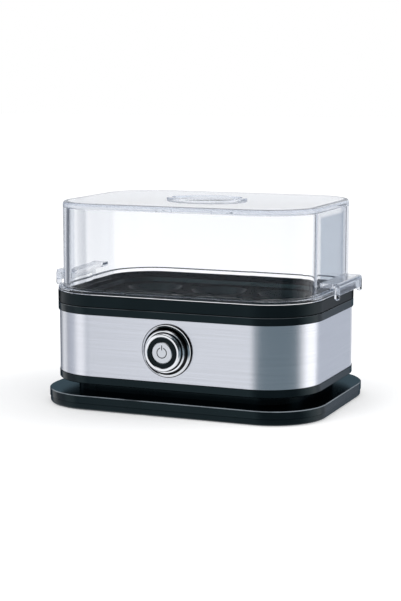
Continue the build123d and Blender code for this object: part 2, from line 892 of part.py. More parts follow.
def lid_handle(side):
    """Channel handle on one end: web, turned-down lip and two hooked lip ends."""
    inner = end - lid_wall_inset - lid_wall / 2
    web_bottom_edge = handle_top - handle_web
    lip_inner = handle_reach - handle_lip
    section = make_face(Polyline(
        (inner, web_bottom_edge), (lip_inner, web_bottom_edge), (lip_inner, handle_lip_bottom),
        (handle_reach, handle_lip_bottom), (handle_reach, handle_top), (inner, handle_top),
        close=True,
    ))
    outer_corner = section.vertices().sort_by(Axis.X)[-2:].sort_by(Axis.Y)[-1]
    section = fillet(outer_corner, handle_edge)
    channel = extrude(Plane.XZ * section, handle_half, both=True)
    trim = RectangleRounded(2 * handle_reach, 2 * handle_half, handle_corner)
    channel &= slab(trim, handle_lip_bottom - 1, handle_top + 1)
    hook = extrude(Circle(hook_radius), handle_top - handle_edge - hook_bottom)
    hook = chamfer(hook.edges().group_by(Axis.Z)[0], hook_edge)
    for y in (-handle_half + hook_radius, handle_half - hook_radius):
        channel += Pos(handle_reach - hook_radius, y, hook_bottom) * hook
    return channel if side > 0 else Rot(0, 0, 180) * channel


def clear_lid():
    """Clear box lid with a foot flange, end handles and a dished vent boss."""
    outer = slab(body_plan(lid_wall_inset), lid_foot, lid_top)
    outer = fillet(outer.edges().group_by(Axis.Z)[-1], lid_edge)
    shell = outer + slab(body_plan(-lid_flange_proud), flange_bottom, flange_top)
    level = shell.edges().filter_by_position(Axis.Z, flange_top - 0.01, flange_top + 0.01)
    reach = end - lid_wall_inset + 0.01, back - lid_wall_inset + 0.01
    foot = [edge for edge in level
            if edge.bounding_box().max.X < reach[0] and edge.bounding_box().max.Y < reach[1]
            and edge.bounding_box().min.X > -reach[0] and edge.bounding_box().min.Y > -reach[1]]
    shell = fillet(foot, lid_foot_fillet)
    inside = slab(body_plan(lid_wall_inset + lid_wall), lid_foot, ceiling)
    inside = fillet(inside.edges().group_by(Axis.Z)[-1], lid_edge / 2)
    boss = Pos(0, 0, ceiling) * extrude(boss_plan(0), boss_top - ceiling)
    boss = fillet(boss.edges().group_by(Axis.Z)[-1], boss_height * 0.6)
    dish = loft([
        Pos(0, 0, boss_top - boss_dish) * boss_plan(boss_rim + boss_dish / 2),
        Pos(0, 0, boss_top) * boss_plan(boss_rim),
    ])
    shell = shell + boss - dish
    shell += lid_handle(1)
    shell += lid_handle(-1)
    shell -= inside
    slot = Pos(0, vent_slot_at, ceiling) * extrude(SlotOverall(*vent_slot), lid_top - ceiling)
    return shell - slot


parts = {
    "rubber_feet": rubber_feet, "bottom_cover": bottom_cover, "base_tray": base_tray,
    "base_screws": base_screws, "neck_screws": neck_screws, "housing": housing,
    "steel_band": steel_band, "top_collar": top_collar, "collar_screws": collar_screws,
    "plate_seal": plate_seal, "heating_plate": heating_plate, "heating_element": heating_element,
    "terminal_pins": terminal_pins, "element_clips": element_clips, "plate_studs": plate_studs,
    "plate_nuts": plate_nuts, "heat_shield": heat_shield, "thermostat": thermostat,
    "thermostat_bracket": thermostat_bracket, "thermal_fuse": thermal_fuse, "fuse_clip": fuse_clip,
    "button_bezel": button_bezel, "bezel_nut": bezel_nut, "button_sleeve": button_sleeve,
    "button_ring": button_ring, "button_cap": button_cap, "power_icon": power_icon,
    "button_stem": button_stem, "button_spring": button_spring, "switch_body": switch_body,
    "control_board": control_board, "relay": relay, "buzzer": buzzer, "board_screws": board_screws,
    "terminal_block": terminal_block, "terminal_screws": terminal_screws,
    "cord_grommet": cord_grommet, "lead_wires": lead_wires, "egg_rack": egg_rack,
    "clear_lid": clear_lid,
}

os.makedirs("parts", exist_ok=True)
for name, make in parts.items():
    shape = make()
    solids = shape if isinstance(shape, list) else shape.solids()
    export_step(Compound(children=list(solids)), f"parts/{name}.step")
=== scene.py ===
import json
import math

import bmesh
import bpy
from mathutils import Matrix, Vector


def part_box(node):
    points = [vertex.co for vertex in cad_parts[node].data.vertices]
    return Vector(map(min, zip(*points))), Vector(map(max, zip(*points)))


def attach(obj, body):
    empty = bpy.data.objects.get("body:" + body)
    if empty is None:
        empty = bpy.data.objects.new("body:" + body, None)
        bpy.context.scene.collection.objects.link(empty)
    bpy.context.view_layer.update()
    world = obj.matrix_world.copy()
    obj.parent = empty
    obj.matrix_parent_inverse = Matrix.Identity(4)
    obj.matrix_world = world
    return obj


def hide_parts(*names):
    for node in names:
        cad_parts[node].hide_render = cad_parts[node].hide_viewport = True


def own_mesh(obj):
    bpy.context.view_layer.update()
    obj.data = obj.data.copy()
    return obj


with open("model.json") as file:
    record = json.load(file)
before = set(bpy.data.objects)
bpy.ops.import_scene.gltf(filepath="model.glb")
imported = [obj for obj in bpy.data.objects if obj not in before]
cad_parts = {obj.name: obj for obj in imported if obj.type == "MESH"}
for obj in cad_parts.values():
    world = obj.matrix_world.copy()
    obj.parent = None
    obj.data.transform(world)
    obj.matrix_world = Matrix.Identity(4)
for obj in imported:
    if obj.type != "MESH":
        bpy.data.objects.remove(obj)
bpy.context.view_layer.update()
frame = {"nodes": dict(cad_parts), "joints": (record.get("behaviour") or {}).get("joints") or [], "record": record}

bl_info = {
    "name": "Electric egg cooker",
    "version": (1, 0, 0),
    "blender": (4, 5, 0),
    "location": "View3D > Sidebar > Egg cooker",
    "description": "Builds the finished surfaces of a six-egg cooker around its packed CAD frame",
    "category": "Object",
}

MM = 0.001
BUTTON_AXIS = (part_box("button_cap")[0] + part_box("button_cap")[1]) / 2
STEEL_LOW, STEEL_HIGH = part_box("steel_band")
MERGE_DISTANCE = 1e-6
SHARP_ANGLE = math.radians(32)

# Facets round a turned ring, a screw's head and shank, a rounded edge, a coil and its wire
TURNED_STEPS = 160
HEAD_STEPS = 40
SHANK_STEPS = 32
EDGE_STEPS = 4
COIL_STEPS = 40
WIRE_STEPS = 10
SPRING_TURNS = 7.0
# How far a recess in a screw's head reaches across it, as a share of the head's radius
RECESS_SPAN = 1.2

# Outlines of the turned button parts in millimetres: radius and height over the steel
BEZEL_OUTLINE = (
    (13.0, -9.0), (14.0, -9.0), (14.0, 0.0), (18.0, 0.0), (18.0, 1.2), (17.6, 1.65), (16.95, 1.65),
    (16.8, 1.95), (14.4, 3.4), (14.4, 4.8), (14.0, 5.2), (13.0, 5.2))
SLEEVE_OUTLINE = (
    (2.2, 4.6), (11.2, 4.6), (11.2, -10.9), (13.8, -10.9), (13.8, -9.3), (12.7, -9.3), (12.7, 8.5),
    (12.3, 9.0), (11.9, 9.2), (10.8, 9.2), (10.4, 8.8), (10.4, 6.6), (2.2, 6.6))
RING_OUTLINE = ((7.3, 6.6), (10.3, 6.6), (10.3, 8.65), (10.0, 8.85), (7.6, 8.85), (7.3, 8.65))
BEZEL_ROUNDING, SLEEVE_ROUNDING, RING_ROUNDING = 0.22, 0.16, 0.12
# Painted shade on the bezel: dark rings standing in for shade at its seat on the steel, on its cone and in its gap
# by the sleeve, in millimetres: radius and half width, and their soft edge
BEZEL_SHADE_RINGS = ((17.9, 0.4), (15.2, 0.7), (13.05, 0.15))
SHADE_RING_EDGE = 0.2
SHADE_RING_TONE = 0.015

# The lid's walls stand inside the steel's by an inset, and its boss rises over its flat top
STEEL_CORNER = 0.038
LID_INSET = 0.00295
LID_CORNER = STEEL_CORNER - LID_INSET
LID_BOSS = 0.0015
LID_STRAIGHT = [reach - STEEL_CORNER for reach in STEEL_HIGH.xy]
LID_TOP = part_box("clear_lid")[1].z - LID_BOSS

# From here on, two numbers in brackets say where a change in a finish starts and where it ends.
# The blacks take a sheen at slants that go from 0 face on to 1 edge on
SHEEN_SLANT = (0.64, 0.80)
SHEEN_SHARE = 0.93
BLACK_GLINT = (0.55, 0.9, 1.0)
# Tilts, from 0 for a wall to 1 for a level top, between which a chamfer lies and takes a painted highlight
CHAMFER_STEEP, CHAMFER_FLAT = (0.5, 0.65), (0.75, 0.9)

# Slants at which the clear plastic greys, clears again down to a share, and takes painted shade edge on
GREY_SLANT, CLEAR_SLANT, DARK_SLANT = (0.42, 0.6), (0.68, 0.85), (0.88, 0.99)
GREY_LEFT, DARK_TONE = 0.35, 0.38
# The lid's ends and handles, outwards from its middle
END_REACH = (0.080, 0.088)
HANDLE_REACH = (0.0935, 0.0955)
# Painted shade that greys the handles: its tone and its share
HANDLE_TONE, HANDLE_SHARE = 0.8, 0.4
# Painted light: the back part of the left end is left lighter
BACK_DEPTH = (-0.018, -0.010)
BACK_PAINTED_LIGHT = 0.85
# Painted shade: a darker panel in the right end, its middle, its sides and its top, and its border left lighter by
# painted light
PANEL_MIDDLE = -0.002
PANEL_SIDE = (0.023, 0.027)
PANEL_TOP = (0.131, 0.134)
PANEL_SHADE = (0.30, 0.36, 0.44)
BORDER_PAINTED_LIGHT = 0.75
# A strip of painted shade in the left end: its middle and its sides
SHADE_STRIP_MIDDLE = -0.022
SHADE_STRIP_SIDE = (0.004, 0.010)
SHADE_STRIP_TONE = 0.45
# A painted dark line along the rim: inwards from the lid's outline, and up to its top
RIM_INSET = (0.0032, 0.0040)
RIM_HEIGHT = (LID_TOP - 0.0005, LID_TOP - 0.0002)
RIM_TONE, RIM_SHARE = 0.5, 0.6
GLASS_GLINT = (0.4, 0.4, 0.42)
# Counts of a ray's steps, and of its mirror turns alone, over which it ends in a pale mist
ALL_STEPS, MIRROR_TURNS = (5.0, 6.0), (1.0, 2.0)
MIST_CLEAR, MIST_MILKY, MILKY_SHARE = (0.93, 0.945, 0.97), (0.92, 0.94, 0.97), 0.42


# Settings that a user would change

class Finishes(bpy.types.PropertyGroup):
    black: bpy.props.FloatVectorProperty(
        name="Black moulding", description="Colour of the glossy black mouldings",
        subtype="COLOR", size=3, min=0, max=1, default=(0.0035, 0.0055, 0.0068))
    steel: bpy.props.FloatVectorProperty(
        name="Steel", description="Colour of the brushed steel band",
        subtype="COLOR", size=3, min=0, max=1, default=(0.70, 0.715, 0.76))
    clear: bpy.props.FloatVectorProperty(
        name="Clear plastic", description="Tint of the clear lid",
        subtype="COLOR", size=3, min=0, max=1, default=(0.998, 0.999, 1.0))
    film: bpy.props.FloatVectorProperty(
        name="Edge tint", description="Colour of the clear plastic where it is seen at a slant",
        subtype="COLOR", size=3, min=0, max=1, default=(0.49, 0.53, 0.60))
    chrome: bpy.props.FloatVectorProperty(
        name="Chrome", description="Colour of the plated button parts",
        subtype="COLOR", size=3, min=0, max=1, default=(0.84, 0.85, 0.87))
    brushing: bpy.props.FloatProperty(
        name="Brushing", description="Height of the steel's brushed lines",
        subtype="DISTANCE", unit="LENGTH", min=0, max=0.001, precision=6, default=0.00002)


class Stage(bpy.types.PropertyGroup):
    azimuth: bpy.props.FloatProperty(
        name="Azimuth", subtype="ANGLE", unit="ROTATION", default=math.radians(22.39),
        description="Camera direction round the object, from the front to the right")
    elevation: bpy.props.FloatProperty(
        name="Elevation", description="Camera direction above the table",
        subtype="ANGLE", unit="ROTATION", default=math.radians(8.15))
    distance: bpy.props.FloatProperty(
        name="Distance", description="From the camera to the point that it looks at",
        subtype="DISTANCE", unit="LENGTH", min=0.1, default=1.081)
    aim_height: bpy.props.FloatProperty(
        name="Aim height", description="Height of the point that the camera looks at",
        subtype="DISTANCE", unit="LENGTH", default=0.076)
    lens: bpy.props.FloatProperty(
        name="Lens", description="Focal length of the camera in millimetres",
        min=10, max=300, default=92.31)
    daylight: bpy.props.FloatProperty(
        name="Daylight", description="Strength of the even studio light",
        min=0, max=4, default=0.8)


# Shader nodes

class Signal:
    """A node's output that Python's operators carry on through Math nodes."""

    def __init__(self, kit, socket):
        self.kit = kit
        self.socket = socket

    def __add__(self, other):
        return self.kit.maths("ADD", self, other)

    def __radd__(self, other):
        return self.kit.maths("ADD", other, self)

    def __sub__(self, other):
        return self.kit.maths("SUBTRACT", self, other)

    def __rsub__(self, other):
        return self.kit.maths("SUBTRACT", other, self)

    def __mul__(self, other):
        return self.kit.maths("MULTIPLY", self, other)

    def __rmul__(self, other):
        return self.kit.maths("MULTIPLY", other, self)

    def __abs__(self):
        return self.kit.maths("ABSOLUTE", self)

    def swing(self, share):
        """A share of how far the signal is above or below one half."""
        return share * (self - 0.5)


class NodeKit:
    """Builds the nodes of one material, of the world or of a geometry node tree."""

    def __init__(self, tree):
        self.tree = tree
        tree.nodes.clear()

    def node(self, kind, settings=None, inputs=None, output=0):
        """Adds a node, sets its options first, then its inputs, and gives one output.

        An input is a value, a signal, or a list of signals that all go into one socket.
        """
        made = self.tree.nodes.new(kind)
        for name, value in (settings or {}).items():
            setattr(made, name, value)
        for key, value in (inputs or {}).items():
            if isinstance(value, list):
                for signal in value:
                    self.tree.links.new(signal.socket, made.inputs[key])
            elif isinstance(value, Signal):
                self.tree.links.new(value.socket, made.inputs[key])
            else:
                made.inputs[key].default_value = value
        return Signal(self, made.outputs[output]) if made.outputs else made

    def maths(self, operation, *values):
        return self.node("ShaderNodeMath", {"operation": operation}, dict(enumerate(values)))

    def largest(self, first, second):
        return self.maths("MAXIMUM", first, second)

    def length(self, across, up):
        """Length of a vector from two components."""
        return self.maths("SQRT", across * across + up * up)

    def part(self, vector, axis):
        """One component of a vector."""
        return self.node("ShaderNodeSeparateXYZ", inputs={0: vector}, output=axis)

    def upright(self, height):
        """Vector that points up by a height."""
        return self.node("ShaderNodeCombineXYZ", inputs={"Z": height})

    def given(self, name):
        """A named input of a geometry node tree."""
        return self.node("NodeGroupInput", output=name)

    def place(self, scale):
        """Object coordinates stretched by a scale for each axis."""
        where = self.node("ShaderNodeTexCoord", output="Object")
        return self.node("ShaderNodeMapping", inputs={"Vector": where, "Scale": scale})

    def along(self, axis):
        """Object coordinate along one axis."""
        return self.part(self.node("ShaderNodeTexCoord", output="Object"), axis)

    def rounded_inset(self, straight, corner):
        """Distance inwards from a rounded rectangle of half straight sides and a corner radius."""
        beyond = [self.largest(abs(self.along(axis)) - half, 0.0)
                  for axis, half in zip("XY", straight)]
        return corner - self.length(*beyond)

    def radius_from(self, axis):
        """Distance from a line that runs from front to back."""
        return self.length(self.along("X") - axis.x, self.along("Z") - axis.z)

    def upward(self):
        """How far the surface looks up: 1 for a level top, 0 for a wall."""
        return self.part(self.node("ShaderNodeNewGeometry", output="Normal"), "Z")

    def facing(self):
        """How far the surface turns from the ray: 0 face on, 1 edge on."""
        return self.node("ShaderNodeLayerWeight", inputs={"Blend": 0.5}, output="Facing")

    def noise(self, scale, detail=3.0, roughness=0.55):
        """Noise from 0 to 1 with a number of cells per metre on each axis."""
        return self.node("ShaderNodeTexNoise", inputs={
            "Vector": self.place(scale), "Scale": 1.0, "Detail": detail, "Roughness": roughness})

    def ease(self, value, low, high, start=0.0, end=1.0):
        """Smooth step of a value between two limits."""
        return self.node("ShaderNodeMapRange", {"interpolation_type": "SMOOTHSTEP"}, {
            "Value": value, "From Min": low, "From Max": high, "To Min": start, "To Max": end})

    def fade(self, value, low, high, end=0.0):
        """Smooth step down from 1."""
        return self.ease(value, low, high, 1.0, end)

    def blend(self, first, second, factor):
        """Colour between two colours."""
        return self.node("ShaderNodeMix", {"data_type": "RGBA"}, {
            0: factor, 6: first, 7: second}, 2)

    def tones(self, colour, dark, light, mask):
        """A colour times dark where the mask is 0, and times light where it is 1."""
        return self.blend(shade(colour, dark), shade(colour, light), mask)

    def bump(self, height, distance):
        return self.node("ShaderNodeBump", inputs={
            "Height": height, "Distance": distance, "Strength": 1.0})

    def ray(self, question):
        """What kind of ray is being traced, such as Is Camera Ray."""
        return self.node("ShaderNodeLightPath", output=question)

    def through_clear(self, turned):
        """1 for a ray that went through clear plastic, with or without a reflection on its way."""
        entered = self.ray("Transmission Depth")
        mirrored = self.ease(self.ray("Ray Depth") - entered, 0.0, 1.0)
        return self.ease(entered, 0.0, 1.0) * (mirrored if turned else 1 - mirrored)

    def principled(self, **inputs):
        named = {name.replace("_", " "): value for name, value in inputs.items()}
        return self.node("ShaderNodeBsdfPrincipled", inputs=named)

    def dull(self, colour):
        return self.node("ShaderNodeBsdfDiffuse", inputs={"Color": colour})

    def see_through(self, colour=(1, 1, 1, 1)):
        return self.node("ShaderNodeBsdfTransparent", inputs={"Color": colour})

    def mix(self, first, second, factor):
        """Shader between two shaders."""
        return self.node("ShaderNodeMixShader", inputs={0: factor, 1: first, 2: second})

    def surface(self, shader):
        self.node("ShaderNodeOutputMaterial", inputs={"Surface": shader})


def solid(colour):
    return (colour[0], colour[1], colour[2], 1.0)


def shade(colour, factor):
    return (colour[0] * factor, colour[1] * factor, colour[2] * factor, 1.0)


def new_finish(name):
    material = bpy.data.materials.new(name)
    material.use_nodes = True
    return material, NodeKit(material.node_tree)


def every_way(value):
    return (value, value, value)


# Finishes

def moulded_black(name, colour, roughness, specular, grain=1.2e-6, sheen=(0.028, 0.055, 0.072),
                  chamfer_highlight=(0.24, 0.27, 0.30)):
    """Moulded plastic: faint grain, a painted highlight on its chamfers, and a dark sheen that shows at a slant.
    """
    material, kit = new_finish(name)
    clouds = kit.noise(every_way(28), detail=4)
    flow = kit.noise((9, 9, 60), detail=2)
    fine = kit.noise(every_way(2600), detail=2)
    plain = kit.tones(colour, 0.85, 1.25, kit.ease(clouds, 0.3, 0.7))
    # Painted highlight: chamfers that look partly up take a lighter colour, as if lit from overhead, broken up by
    # clouds
    upward = kit.upward()
    chamfer = kit.ease(upward, *CHAMFER_STEEP) * kit.fade(upward, *CHAMFER_FLAT)
    gloss = kit.principled(
        Base_Color=kit.blend(plain, solid(chamfer_highlight), chamfer * kit.ease(clouds, 0.2, 0.6)),
        Roughness=roughness + clouds.swing(0.05) + flow.swing(0.04) + fine.swing(0.03),
        Specular_IOR_Level=specular,
        Specular_Tint=solid(BLACK_GLINT),
        Normal=kit.bump(fine, grain))
    slanted = kit.node("ShaderNodeBsdfAnisotropic", inputs={
        "Color": solid(sheen), "Roughness": roughness})
    kit.surface(kit.mix(gloss, slanted, SHEEN_SHARE * kit.ease(kit.facing(), *SHEEN_SLANT)))
    return material


def brushed_cells(along, few, many):
    """Noise cells per metre: few along the brushed axes and many across them."""
    return tuple(few if axis in along else many for axis in "xyz")


def brushed_metal(name, colour, along, roughness, height, anisotropy=0.0, change=0.03):
    """Metal brushed along an axis: long fine lines in its colour, gloss and height."""
    material, kit = new_finish(name)
    lines = kit.noise(brushed_cells(along, 16, 5200), detail=2, roughness=0.6)
    strokes = kit.noise(brushed_cells(along, 9, 1300), detail=2)
    clouds = kit.noise(every_way(12), detail=2)
    tone = kit.ease(0.6 * lines + 0.4 * strokes, 0.3, 0.7)
    kit.surface(kit.principled(
        Base_Color=kit.tones(colour, 1 - change, 1 + change, tone),
        Metallic=1.0,
        Roughness=roughness + lines.swing(0.10) + clouds.swing(0.05),
        Anisotropic=anisotropy,
        Normal=kit.bump(0.7 * lines + 0.3 * strokes, height)))
    return material


def cast_metal(name, colour, roughness, cells=700, height=1.5e-5):
    """Dull metal with a fine even grain and a few darker clouds."""
    material, kit = new_finish(name)
    clouds = kit.noise(every_way(45), detail=4)
    grain = kit.noise(every_way(cells))
    kit.surface(kit.principled(
        Base_Color=kit.tones(colour, 0.72, 1.1, kit.ease(clouds, 0.25, 0.7)),
        Metallic=1.0,
        Roughness=roughness + clouds.swing(0.15) + grain.swing(0.1),
        Normal=kit.bump(grain, height)))
    return material


def plated(name, colour, shade_rings=()):
    """Mirror plating over a moulding: faint ripple, a breath of haze and rings of painted shade."""
    material, kit = new_finish(name)
    ripple = kit.noise(every_way(160), detail=2)
    haze = kit.noise(every_way(700))
    tone = kit.tones(colour, 0.97, 1.02, ripple)
    radius = kit.radius_from(BUTTON_AXIS)
    # Painted shade: each ring darkens the plating to a near black line
    for middle, half in shade_rings:
        line = kit.fade(abs(radius - middle * MM), half * MM, (half + SHADE_RING_EDGE) * MM)
        tone = kit.blend(tone, shade(colour, SHADE_RING_TONE), line)
    kit.surface(kit.principled(
        Base_Color=tone,
        Metallic=1.0,
        Roughness=0.045 + 0.03 * kit.ease(haze, 0.4, 0.8),
        Normal=kit.bump(ripple, 3e-6)))
    return material


def soft_rubber(name, colour, roughness):
    """Matte elastomer with a dusty bloom and a fine pitted skin."""
    material, kit = new_finish(name)
    bloom = kit.noise(every_way(90), detail=4)
    pits = kit.noise(every_way(1800))
    kit.surface(kit.principled(
        Base_Color=kit.tones(colour, 0.8, 1.3, kit.ease(bloom, 0.3, 0.75)),
        Roughness=roughness + bloom.swing(0.15),
        Specular_IOR_Level=0.3,
        Normal=kit.bump(pits, 2e-5)))
    return material


def matte_moulding(name, colour, roughness=0.5, specular=0.35):
    """Plain moulded part: even colour with flow marks and a light grain."""
    material, kit = new_finish(name)
    flow = kit.noise((30, 30, 110))
    grain = kit.noise(every_way(1500))
    kit.surface(kit.principled(
        Base_Color=kit.tones(colour, 0.9, 1.06, kit.ease(flow, 0.3, 0.7)),
        Roughness=roughness + grain.swing(0.1) + flow.swing(0.08),
        Specular_IOR_Level=specular,
        Normal=kit.bump(grain, 8e-6)))
    return material


def woven_sleeve(name, colour):
    """Braided glass fibre: crossed strands that run at a slant."""
    material, kit = new_finish(name)
    strands = 900
    waves = [
        kit.node("ShaderNodeTexWave", {"bands_direction": "DIAGONAL"}, {
            "Vector": kit.place((way, strands, way)), "Scale": 1.0, "Distortion": 0.6})
        for way in (strands, -strands)]
    weave = 0.5 * waves[0] + 0.5 * waves[1]
    kit.surface(kit.principled(
        Base_Color=kit.tones(colour, 0.65, 1.1, weave),
        Roughness=0.8 + weave.swing(0.1),
        Normal=kit.bump(weave, 6e-5)))
    return material


def circuit_board(name, colour):
    """Solder mask with copper tracks that show as slightly lighter lines."""
    material, kit = new_finish(name)
    field, other_field, track = 0.0, 0.15, 1.0
    cells = kit.node("ShaderNodeTexBrick", {"offset": 0.5}, {
        "Vector": kit.place(every_way(330)), "Scale": 1.0, "Mortar Size": 0.08,
        "Color1": solid(every_way(field)), "Color2": solid(every_way(other_field)),
        "Mortar": solid(every_way(track))}, "Fac")
    weave = kit.noise(every_way(900), detail=2)
    kit.surface(kit.principled(
        Base_Color=kit.tones(colour, 0.8, 1.7, cells),
        Roughness=0.34 + weave.swing(0.1),
        Normal=kit.bump(cells, 3e-5)))
    return material


def lid_tint(kit, colour, film):
    """Clear face on and grey at a slant, with painted light and shade: lighter and darker zones in the lid's ends,
    greyer handles and dark edges edge on.
    """
    across, depth, height = (kit.along(axis) for axis in "XYZ")
    facing = kit.facing()
    grey = kit.ease(facing, *GREY_SLANT)
    left, right = kit.ease(-1 * across, *END_REACH), kit.ease(across, *END_REACH)
    border = kit.largest(
        kit.ease(abs(depth - PANEL_MIDDLE), *PANEL_SIDE), kit.ease(height, *PANEL_TOP))
    # Painted light and shade: the left end's back and the right panel's border lighter, the right panel and a
    # strip in the left end darker
    painted_light = BACK_PAINTED_LIGHT * left * kit.ease(depth, *BACK_DEPTH) + BORDER_PAINTED_LIGHT * right * border
    slant = grey * kit.fade(facing, *CLEAR_SLANT, end=GREY_LEFT)
    tint = kit.blend(solid(film), solid(PANEL_SHADE), right * (1 - border))
    tint = kit.blend(solid(colour), tint, slant * (1 - painted_light))
    shade_strip = left * grey * kit.fade(abs(depth - SHADE_STRIP_MIDDLE), *SHADE_STRIP_SIDE)
    tint = kit.blend(tint, shade(film, SHADE_STRIP_TONE), shade_strip)
    # Painted shade on the handles
    handle = kit.ease(abs(across), *HANDLE_REACH)
    tint = kit.blend(tint, shade(film, HANDLE_TONE), HANDLE_SHARE * handle)
    # Painted shade: dark edges where the plastic is seen edge on
    return kit.blend(tint, shade(film, DARK_TONE), kit.ease(facing, *DARK_SLANT))


def clear_moulding(name, colour, film):
    """Clear plastic: it refracts, takes the lid's tint and casts no dark shadow.

    The rim has a painted dark line, and a ray that stays in the lid for long ends in a pale mist.
    """
    material, kit = new_finish(name)
    glass = kit.principled(
        Base_Color=lid_tint(kit, colour, film), Roughness=0.0, Transmission_Weight=1.0, IOR=1.45,
        Specular_Tint=solid(GLASS_GLINT), Normal=kit.bump(kit.noise(every_way(35)), 1e-6))
    turns = kit.ray("Ray Depth") - kit.ray("Transmission Depth")
    spent = kit.largest(
        kit.ease(kit.ray("Ray Depth"), *ALL_STEPS), kit.ease(turns, *MIRROR_TURNS))
    mist = kit.mix(
        kit.see_through(solid(MIST_CLEAR)), kit.dull(solid(MIST_MILKY)), MILKY_SHARE)
    # Painted shade: a dull dark line along the rim, near its top
    inset = kit.rounded_inset(LID_STRAIGHT, LID_CORNER)
    rim = kit.fade(inset, *RIM_INSET) * kit.ease(kit.along("Z"), *RIM_HEIGHT)
    seen = kit.mix(kit.mix(glass, mist, spent), kit.dull(shade(film, RIM_TONE)), RIM_SHARE * rim)
    kit.surface(kit.mix(seen, kit.see_through(solid(colour)), kit.ray("Is Shadow Ray")))
    return material


def make_finishes(scene):
    """One material for each slot of the record, and the rack's, the collar's and the bezel's."""
    look = scene.egg_finishes
    return {
        "black_gloss": moulded_black("black_moulding", look.black, 0.2, 0.2),
        "black_matte": moulded_black("black_cover", look.black, 0.32, 0.2, 4e-6),
        "rack": moulded_black(
            "rack_black", look.black, 0.36, 0.16, 3e-6, (0.008, 0.011, 0.013), look.black),
        "collar": moulded_black("collar_black", look.black, 0.2, 0.2, chamfer_highlight=(0.08, 0.09, 0.10)),
        "rubber": soft_rubber("foot_rubber", (0.03, 0.03, 0.032), 0.7),
        "silicone": soft_rubber("seal_silicone", (0.55, 0.2, 0.14), 0.45),
        "brushed_band": brushed_metal(
            "band_steel", look.steel, "xy", 0.22, look.brushing, 0.6, 0.055),
        "screw_steel": cast_metal("zinc_plating", (0.55, 0.55, 0.54), 0.32),
        "plate_steel": brushed_metal("pressed_steel", (0.62, 0.62, 0.63), "x", 0.3, 8e-6),
        "heater_sheath": cast_metal("heater_tube", (0.42, 0.41, 0.40), 0.45),
        "shield_sheet": cast_metal("rolled_sheet", (0.68, 0.68, 0.69), 0.28, 1200, 6e-6),
        "ceramic": matte_moulding("glazed_ceramic", (0.8, 0.77, 0.7), 0.25, 0.5),
        "chrome": plated("button_chrome", look.chrome),
        "bezel": plated("bezel_chrome", look.chrome, BEZEL_SHADE_RINGS),
        "ring_black": moulded_black("ring_gloss", (0.004, 0.005, 0.006), 0.12, 0.12),
        "cap_silver": brushed_metal("cap_satin", (0.72, 0.74, 0.77), "x", 0.3, 4e-6),
        "icon_dark": matte_moulding("icon_ink", (0.03, 0.035, 0.04), 0.4),
        "spring_steel": brushed_metal("spring_wire", (0.6, 0.6, 0.62), "y", 0.3, 4e-6),
        "white_moulding": matte_moulding("white_moulding", (0.78, 0.77, 0.74)),
        "phenolic": matte_moulding("phenolic", (0.13, 0.07, 0.04), 0.45),
        "board": circuit_board("solder_mask", (0.04, 0.2, 0.09)),
        "relay_case": matte_moulding("relay_case", (0.04, 0.1, 0.3), 0.28, 0.5),
        "lead_cover": woven_sleeve("fibre_sleeve", (0.7, 0.68, 0.62)),
        "clear": clear_moulding("clear_plastic", look.clear, look.film),
    }


def finish_of(slot):
    return bpy.data.materials[bpy.context.scene["egg_slots"][slot]]


# Geometry node trees

def piece_tree(name, sizes):
    """A geometry node tree that takes a mesh, a finish and a piece's named sizes."""
    tree = bpy.data.node_groups.new(name, "GeometryNodeTree")
    for way in ("INPUT", "OUTPUT"):
        tree.interface.new_socket("Geometry", in_out=way, socket_type="NodeSocketGeometry")
    tree.interface.new_socket("Finish", in_out="INPUT", socket_type="NodeSocketMaterial")
    for size, value in sizes.items():
        socket = tree.interface.new_socket(size, in_out="INPUT", socket_type="NodeSocketFloat")
        socket.subtype = "DISTANCE"
        socket.default_value = value
    return NodeKit(tree)


def end_tree(kit, geometry):
    """Ends a tree: makes its instances real and gives the whole its finish."""
    real = kit.node("GeometryNodeRealizeInstances", inputs={"Geometry": geometry})
    done = kit.node("GeometryNodeSetMaterial", inputs={
        "Geometry": real, "Material": kit.given("Finish")})
    kit.node("NodeGroupOutput", inputs={"Geometry": done})


def moved(kit, geometry, place):
    return kit.node("GeometryNodeTransform", inputs={"Geometry": geometry, "Translation": place})


def turned_tree():
    """Turns a closed outline of radius and height round an upright axis, with rounded edges."""
    kit = piece_tree("turned_piece", {"Middle radius": 0.01, "Rounding": 0.0002})
    outline = kit.node("GeometryNodeMeshToCurve", inputs={"Mesh": kit.given("Geometry")})
    rounded = kit.node("GeometryNodeFilletCurve", {"mode": "POLY"}, {
        "Curve": outline, "Count": EDGE_STEPS, "Radius": kit.given("Rounding"),
        "Limit Radius": True})
    path = kit.node("GeometryNodeCurvePrimitiveCircle", inputs={
        "Resolution": TURNED_STEPS, "Radius": kit.given("Middle radius")})
    ring = kit.node("GeometryNodeCurveToMesh", inputs={"Curve": path, "Profile Curve": rounded})
    end_tree(kit, ring)


